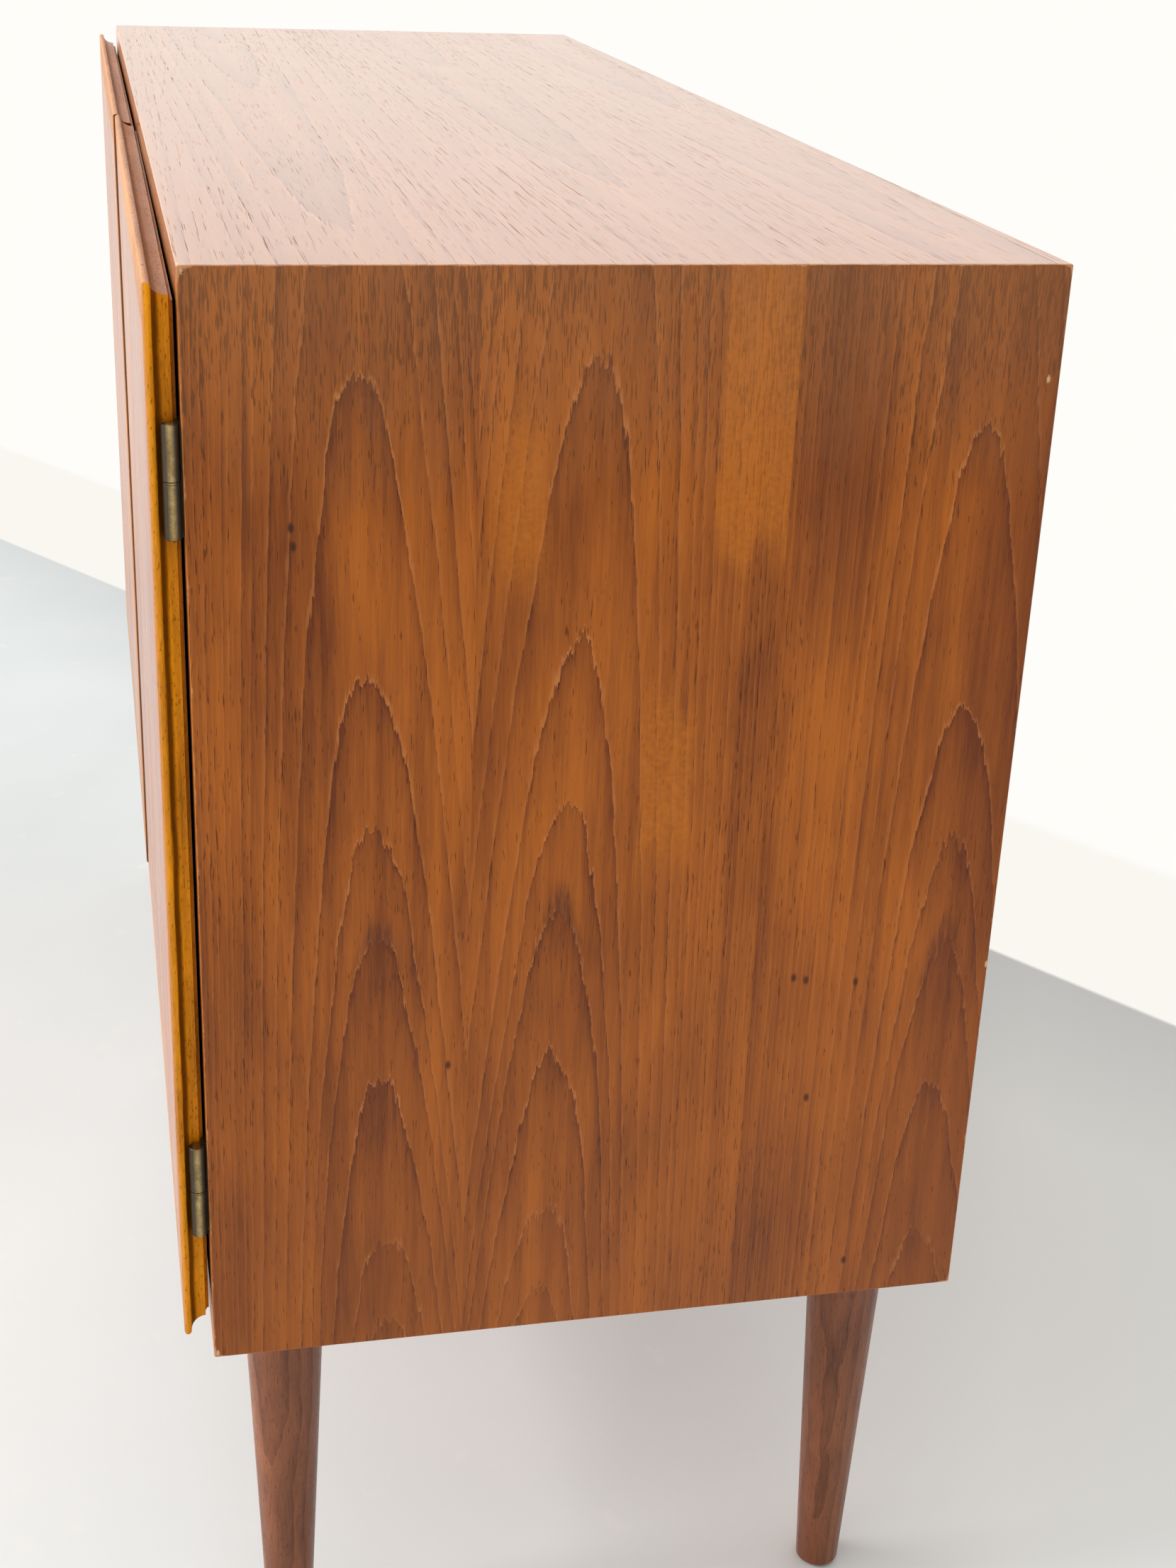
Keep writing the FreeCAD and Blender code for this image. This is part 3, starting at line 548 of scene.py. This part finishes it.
def moulded_lip(name, across, along, edge, lip="C98A4A", cove=("FAA20A", "A86000"), specular=0.15):
    """Solid teak worked to a lip and a cove, darkened behind the lip by pooled oil and dirt and by painted
    shade.

    Everything goes by the distance behind the door's face, whose edge is given: the lip
    is rubbed pale, the cove is amber with old oil, and a dark band of old oil and painted
    shade lies in its deepest part, broken up by noise along the piece. The flat back is plain wood.
    """
    made, tree = blank(name)
    put = partial(add, tree)
    wood = use(straight_group, tree, place=grain_space(tree, across, along, (0.3, 0, 0)))
    oiled = use(straight_group, tree, place=grain_space(tree, across, along, (0.3, 0, 0)),
                light_wood=srgb(cove[0]), dark_wood=srgb(cove[1]))
    behind = put("SeparateXYZ", grain_space(tree, X, Y, edge)).outputs[1]
    in_cove = put("Math MULTIPLY", put("MapRange", behind, 0.3, 1.0), put("MapRange", behind, 13.1, 12.4))
    wood = blend(tree, in_cove, wood, oiled)
    # painted shade with pooled oil: a dark band deep in the cove, just behind the lip
    blotched = put("TexNoise", put("TexCoord").outputs["Object"], 38.0, 3.0)
    back = put("Math MULTIPLY_ADD", blotched, -1.6, behind)
    begins = put("MapRange", back, 2.7, 3.4, 0.0, 1.0, interpolation_type="SMOOTHSTEP")
    ends = put("MapRange", back, 4.6, 6.8, 1.0, 0.0, interpolation_type="SMOOTHSTEP")
    pooled_oil_and_shade = put("Math MULTIPLY", put("Math MULTIPLY", begins, ends), 0.88)
    colour = put("Mix", pooled_oil_and_shade, wood[0], srgb(OLD_OIL_AND_SHADE), data_type="RGBA")
    arris = put("MapRange", behind, 1.5, 0.7, 0.0, 0.6)
    rubbed = put("Math MULTIPLY", arris, put("MapRange", behind, 0.1, 0.4))
    colour = put("Mix", rubbed, colour, srgb(lip), data_type="RGBA")
    dress(tree, [colour, wood[1], wood[2]], roughness=0.4, depth=0.2, specular=specular)
    return made


for side, hand in ((1, "right"), (-1, "left")):
    door_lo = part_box(f"{hand}_door_hinge_lipping")[0]
    edge = (side * end_x, door_lo.y, 0)
    give(moulded_lip(f"oiled_teak_{hand}_hinge_lip", X, Z, edge), f"{hand}_door_hinge_lipping")
    # the meeting lipping gets a darker lip and cove than the hinge lipping
    give(moulded_lip(f"darker_teak_{hand}_meeting_lip", X, Z, edge, "4A2A16", ("7A4418", "4A260A")),
         f"{hand}_door_meeting_lipping")
    give(moulded_lip(f"oiled_teak_{hand}_rails", Z, X, edge, specular=0.45, cove=("C07A3C", "8E5222")),
         f"{hand}_door_top_lipping", f"{hand}_door_bottom_lipping")
    give(solid(f"solid_teak_{hand}_shelf_edge", Z, X), f"{hand}_shelf_edge_strip")
give(solid("solid_teak_bottom_edge", Z, X), "bottom_edge_strip")
give(solid("solid_teak_middle_edge", X, Z), "partition_edge_strip")

# ---------------------------------------------------------------- legs and back

LOG_HEART = (46.0, -30.0)       # mm from a leg's axis to the middle of its log
LEG_RING = 7.5                  # mm from ring to ring
LEG_TONES = ((0.0, "945938"), (0.4, "7E4A2F"), (0.75, "693C24"), (1.0, "522D1A"))
PLY_TONES = ((0.3, "9A6A40"), (0.5, "8A5A34"), (0.68, "7C4D2B"), (0.85, "6A3F22"))


def stained_leg(name, axis_x, axis_y, seed):
    """Turned hardwood, stained dark and polished: brown with faint paler arches.

    The log's heart lies beside the leg, so a ring is a wide tube round that heart, and
    the taper cuts the tubes into arches. Rings are bands of the distance to the heart.
    Its fibre is drawn 1 mm wide and its pores 0.6 mm, wider than they are, to show.
    """
    made, tree = blank(name)
    put = partial(add, tree)
    space = put("Mapping", put("TexCoord").outputs["Object"],
                (-axis_x / MM, -axis_y / MM, seed * 400.0), (0, 0, 0), PER_MM)
    wander = put("TexNoise", put("VectorMath MULTIPLY", space, (0.03, 0.03, 0.008)), 1.0, 3.0)
    push = put("VectorMath SUBTRACT", wander.outputs["Color"], HALF)
    push = put("VectorMath MULTIPLY_ADD", push, (22.0, 22.0, 0.0), space)
    radial = put("VectorMath SUBTRACT", push, (*LOG_HEART, 0.0))
    radial = put("VectorMath MULTIPLY", radial, (1.0, 1.0, 0.0))
    distance = put("VectorMath LENGTH", radial).outputs["Value"]
    through = put("Math FRACT", put("Math DIVIDE", distance, LEG_RING))
    ring = put("Math POWER", through, 2.0)
    fibre = put("TexNoise", put("VectorMath MULTIPLY", space, (1.0, 1.0, 1 / 18.0)), 1.0, 3.0, 0.6)
    patches = put("TexNoise", put("VectorMath MULTIPLY", space, (0.05, 0.05, 0.014)), 1.0, 3.0)
    ring = put("Math MULTIPLY", ring, 0.4)
    tone = put("Math MULTIPLY_ADD", put("Math SUBTRACT", fibre, 0.5), 0.9, ring)
    tone = put("Math MULTIPLY_ADD", put("Math SUBTRACT", patches, 0.5), 1.3, tone)
    tone = put("Math ADD", tone, 0.3)
    colour = put("ValToRGB", tone, stops=LEG_TONES)
    flecks = put("TexNoise", put("VectorMath MULTIPLY", space, (1.6, 1.6, 0.2)), 1.0, 1.0)
    pores = put("MapRange", flecks, 0.64, 0.72, 0.0, 1.0)
    colour = put("Mix", put("Math MULTIPLY", pores, 0.45), colour, srgb("2A1610"), data_type="RGBA")
    relief = put("Math MULTIPLY_ADD", pores, -1.0, fibre)
    dress(tree, [colour, relief, pores], roughness=0.32, depth=0.08, specular=0.3)
    return made


for row, depth_end in enumerate(("back", "front")):
    for column, hand in enumerate(("right", "left")):
        name = f"{depth_end}_{hand}_leg"
        middle = sum(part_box(name), Vector()) / 2
        give(stained_leg(f"stained_wood_{name}", middle.x, middle.y, 2 * row + column), name)


def back_ply():
    """Rotary-cut plywood, lightly stained and left matt: slow wide clouds and short flecks.

    The flecks are pores, drawn 0.5 mm wide, twice their real width, so that they show.
    """
    made, tree = blank("stained_ply_back")
    put = partial(add, tree)
    space = grain_space(tree, X, Z, (0, 0, 0))
    clouds = grain_noise(tree, space, 40.0, 260.0, 3.0, 0.55)
    wander = put("VectorMath MULTIPLY_ADD", clouds.outputs["Color"], (60.0, 20.0, 0.0), space)
    bands = grain_noise(tree, wander, 13.0, 420.0)
    fibre = grain_noise(tree, space, 0.9, 26.0, 3.0, 0.6)
    tone = put("Math MULTIPLY_ADD", bands, 0.55, put("Math MULTIPLY", clouds, 0.35))
    tone = put("Math MULTIPLY_ADD", fibre, 0.35, tone)
    colour = put("ValToRGB", tone, stops=PLY_TONES)
    pores = put("MapRange", grain_noise(tree, space, 0.5, 6.0, 1.0), 0.64, 0.72, 0.0, 1.0)
    colour = put("Mix", put("Math MULTIPLY", pores, 0.35), colour, srgb("4A2C18"), data_type="RGBA")
    dress(tree, [colour, fibre, pores], roughness=0.62, depth=0.15)
    return made


give(back_ply(), "back_panel")

# ---------------------------------------------------------------- metal and plastic


def patinated(name, tones, spot_and_shade_tone, roughness, spread, spotted, barrel=None):
    """A metal with a skin of age: cloudy tone, fine marks round it, and dull spots.

    barrel is the y of a hinge's axis and its radius, in mm: painted shade darkens it, and dulls its metal,
    where it curves away.
    """
    made, tree = blank(name)
    put = partial(add, tree)
    place = put("Mapping", put("TexCoord").outputs["Object"], (0, 0, 0), (0, 0, 0), PER_MM)
    clouds = put("TexNoise", place, 0.16, 4.0, 0.6)
    fine = put("TexNoise", place, 1.6, 3.0, 0.6)
    marks = put("TexNoise", put("VectorMath MULTIPLY", place, (0.4, 0.4, 3.2)), 1.0, 2.0)
    tone = put("Math MULTIPLY_ADD", fine, 0.4, put("Math MULTIPLY", clouds, 0.6))
    colour = put("ValToRGB", tone, stops=tones)
    dull_spots_and_shade = put("MapRange", fine, 0.56, 0.68, 0.0, spotted)
    bare = 1.0
    if barrel:
        # painted shade: the hinge barrel is darkened and made less metallic where it curves away from its
        # axis
        off_axis = put("Math SUBTRACT", put("SeparateXYZ", place).outputs[1], barrel[0])
        off_axis = put("Math ABSOLUTE", off_axis)
        barrel_shade = put("MapRange", off_axis, barrel[1] * 0.1, barrel[1] * 0.62, 0.0, 0.95)
        dull_spots_and_shade = put("Math MAXIMUM", dull_spots_and_shade, barrel_shade)
        bare = put("MapRange", barrel_shade, 0.0, 1.0, 1.0, 0.2)
    colour = put("Mix", dull_spots_and_shade, colour, srgb(spot_and_shade_tone), data_type="RGBA")
    rough = put("MapRange", clouds, 0.35, 0.65, roughness - spread, roughness + spread)
    rough = put("Math MULTIPLY_ADD", dull_spots_and_shade, 0.3, rough)
    height = put("Math MULTIPLY_ADD", marks, 0.5, fine)
    bump = put("Bump", named={"Strength": 1.0, "Distance": 0.03 * MM, "Height": height})
    put("OutputMaterial", put("BsdfPrincipled", named={
        "Base Color": colour, "Metallic": bare, "Roughness": rough, "Normal": bump}))
    return made


# Aged brass: dull olive gold that has lost its polish, darker in spots.
brass_tones = ((0.35, "7C6643"), (0.5, "A38A5C"), (0.65, "C8AF7C"))
axis_lo, axis_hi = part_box("right_upper_hinge_pin")
barrel_radius = end_x / MM - (axis_lo.x + axis_hi.x) / 2 / MM
barrel = ((axis_lo.y + axis_hi.y) / 2 / MM, barrel_radius)
hinge_brass = patinated("aged_brass_hinges", brass_tones, "2E2418", 0.25, 0.06, 0.65, barrel)
brass = patinated("aged_brass", brass_tones, "33260F", 0.3, 0.06, 0.65)
give(hinge_brass, *[n for n in nodes if "hinge" in n and "lipping" not in n])
give(brass, "shelf_pins", "left_door_screws", "right_door_screws")

# Zinc-plated steel: cool grey with a faint cloudy spangle.
zinc_tones = ((0.35, "8C8E8E"), (0.5, "A2A4A3"), (0.65, "B6B8B6"))
zinc = patinated("zinc_plated_steel", zinc_tones, "5A5850", 0.34, 0.06, 0.3)
give(zinc, *[n for n in nodes if n.endswith("leg_plate")])
give(zinc, "leg_bolts", "leg_plate_screws", "back_panel_screws", "catch_screws",
     "left_door_strike_plate", "right_door_strike_plate")


def moulded(name, light, dark, roughness):
    """Injection-moulded plastic: one colour with a faint cloud and a fine spark-eroded grain.

    The grain is drawn a third of a mm wide, coarser than it is, so that it shows.
    """
    made, tree = blank(name)
    put = partial(add, tree)
    place = put("Mapping", put("TexCoord").outputs["Object"], (0, 0, 0), (0, 0, 0), PER_MM)
    cloud = put("TexNoise", place, 0.12, 3.0)
    grain = put("TexNoise", place, 3.0, 2.0)
    tone = put("Math MULTIPLY_ADD", grain, 0.3, cloud)
    colour = put("ValToRGB", tone, stops=((0.45, light), (0.8, dark)))
    rough = put("MapRange", cloud, 0.3, 0.7, roughness - 0.05, roughness + 0.05)
    bump = put("Bump", named={"Strength": 1.0, "Distance": 0.03 * MM, "Height": grain})
    put("OutputMaterial", put("BsdfPrincipled", named={
        "Base Color": colour, "Roughness": rough, "Normal": bump}))
    return made


give(moulded("moulded_brown_nylon", "4A2C1C", "3A2115", 0.45), "left_catch", "right_catch")
give(moulded("moulded_dark_glide", "2E221A", "241A14", 0.5), "foot_glides")

# ---------------------------------------------------------------- floor, light and camera

WALL_LINE = (-0.5576, 0.8301, 0.0)      # across the floor, square to where it meets the wall
WALL_AWAY = 0.639                       # metres from the middle of the object to that line
WALL_SHADOW_REACH = 0.25                           # metres over which painted shadow darkens the floor towards the wall
SKIRTING = (0.28, 0.30)                 # metres past the wall's foot where its skirting ends
FADE = (1.9, 3.4)                       # metres out over which the floor turns white
WALL, SKIRTING_PAINT = "FEFDF9", "FAF7F1"
# Painted light and shade: the paint is duller at the front than at the back: how far along, and how bright
PAINTED_FLOOR_LIGHT = ((0.0, 0.0), (0.06, 0.0), (0.32, 0.38), (0.74, 0.36), (0.96, 1.0), (1.0, 1.0))


def painted_floor():
    """Pale painted concrete: grey, clouded and scuffed, with painted light and shade across it and painted
    shadow by the wall's foot, and white past the wall's foot or far off.
    """
    made, tree = blank("painted_floor")
    put = partial(add, tree)
    place = put("TexCoord").outputs["Object"]
    clouds = put("TexNoise", place, 2.2, 4.0, 0.55)
    scuffs = put("TexNoise", place, 26.0, 5.0, 0.7)
    paint = put("ValToRGB", clouds, stops=((0.35, "CED3D4"), (0.65, "D6DADB")))
    marked = put("MapRange", scuffs, 0.60, 0.72, 0.0, 0.45)
    paint = put("Mix", marked, paint, srgb("E4E3DE"), data_type="RGBA")
    # painted light and shade: the floor is duller at the front and brighter at the back
    lit = put("VectorMath DOT_PRODUCT", place, (0.45, 1.0, 0.0)).outputs["Value"]
    lit = put("MapRange", lit, -0.7, 0.6, 0.0, 1.0)
    lit = put("FloatCurve", 1.0, lit, curve=PAINTED_FLOOR_LIGHT)
    shaded_paint = put("Mix", 0.3, paint, srgb("9C9FA0"), data_type="RGBA")
    lit_paint = put("Mix", 0.9, paint, srgb("F2F4F4"), data_type="RGBA")
    paint = put("Mix", lit, shaded_paint, lit_paint, data_type="RGBA")
    away = put("VectorMath DOT_PRODUCT", place, WALL_LINE).outputs["Value"]
    # painted shadow: the floor darkens towards the wall's foot
    corner = put("MapRange", away, WALL_AWAY - WALL_SHADOW_REACH, WALL_AWAY, 0.0, 0.28)
    paint = put("Mix", corner, paint, srgb("8E9090"), data_type="RGBA")
    wall = put("MapRange", away, WALL_AWAY - 0.003, WALL_AWAY + 0.003, 0.0, 1.0)
    skirting = put("MapRange", away, WALL_AWAY + SKIRTING[0], WALL_AWAY + SKIRTING[1], 1.0, 0.0)
    out = put("VectorMath LENGTH", place).outputs["Value"]
    far = put("MapRange", out, *FADE, interpolation_type="SMOOTHSTEP")
    wall = put("Math MAXIMUM", wall, far)
    glow = put("Mix", skirting, srgb(WALL), srgb(SKIRTING_PAINT), data_type="RGBA")
    colour = put("Mix", wall, paint, srgb("000000"), data_type="RGBA")
    put("OutputMaterial", put("BsdfPrincipled", named={
        "Base Color": colour, "Roughness": 0.8, "Specular IOR Level": 0.0,
        "Emission Color": glow, "Emission Strength": wall}))
    return made


def floor_sheet(size=80.0, steps=8):
    """A flat square grid: each point is its row and column times the step, about the middle."""
    line = np.linspace(-size / 2, size / 2, steps + 1)
    x, y = np.meshgrid(line, line)
    points = np.stack((x, y, np.zeros_like(x)), -1).reshape(-1, 3)
    corner = (np.arange(steps)[:, None] * (steps + 1) + np.arange(steps)).ravel()
    quads = np.stack((corner, corner + 1, corner + steps + 2, corner + steps + 1), -1)
    mesh = bpy.data.meshes.new("floor")
    mesh.from_pydata(points.tolist(), [], quads.tolist())
    made = bpy.data.objects.new("floor", mesh)
    scene.collection.objects.link(made)
    made.data.materials.append(painted_floor())
    return made


floor_sheet()

# A pale room: white all round, dimmer where it lies behind the camera at the right end.
BRIGHT_SIDE = (-0.80, -0.58, 0.14)
ROOM_LEVEL = (0.52, 1.08)               # how strongly the dim and the bright side shine
world = bpy.data.worlds.new("pale_room")
scene.world = world
world.use_nodes = True
sky = world.node_tree
sky.nodes.clear()
room = partial(add, sky)
toward = room("VectorMath DOT_PRODUCT", room("TexCoord").outputs["Generated"], BRIGHT_SIDE)
toward = toward.outputs["Value"]
level = room("MapRange", toward, -0.75, 0.35, *ROOM_LEVEL, interpolation_type="SMOOTHSTEP")
seen = room("Mix", room("LightPath").outputs["Is Camera Ray"], level, 1.0)
room("OutputWorld", room("Background", srgb(WALL), seen))


def lamp(name, place, target, size, power):
    """A square soft light at a place, turned to a target."""
    data = bpy.data.lights.new(name, "AREA")
    data.shape = "SQUARE"
    data.size, data.energy = size, power
    made = bpy.data.objects.new(name, data)
    made.location = place
    made.rotation_euler = (Vector(place) - Vector(target)).to_track_quat("Z", "Y").to_euler()
    made.visible_camera = False
    scene.collection.objects.link(made)


# A tall window to the left of the view gives the soft key.
WINDOW_PLACE = (-1.0, -6.6, 4.2)
WINDOW_SIZE, WINDOW_POWER = 4.6, 700.0
lamp("window", WINDOW_PLACE, (0, 0, 0.5), WINDOW_SIZE, WINDOW_POWER)

scene.view_settings.view_transform = "Standard"

# The camera looks down at the right end from just in front of the doors' plane.
CAMERA_PLACE = (1.5809, -0.2407, 1.0102)
LENS, SENSOR = 50.76, 36.0
camera_data = bpy.data.cameras.new("camera")
camera_data.lens = LENS
camera_data.sensor_width = SENSOR
camera = bpy.data.objects.new("camera", camera_data)
scene.collection.objects.link(camera)
forward = Vector((-0.8939321, 0.21013165, -0.39589151)).normalized()
rightward = Vector((0.21276104, 0.97637204, 0.03782031)).normalized()
upward = rightward.cross(forward)
camera.matrix_world = Matrix.Translation(CAMERA_PLACE) @ Matrix(
    (rightward, upward, -forward)).transposed().to_4x4()
scene.camera = camera
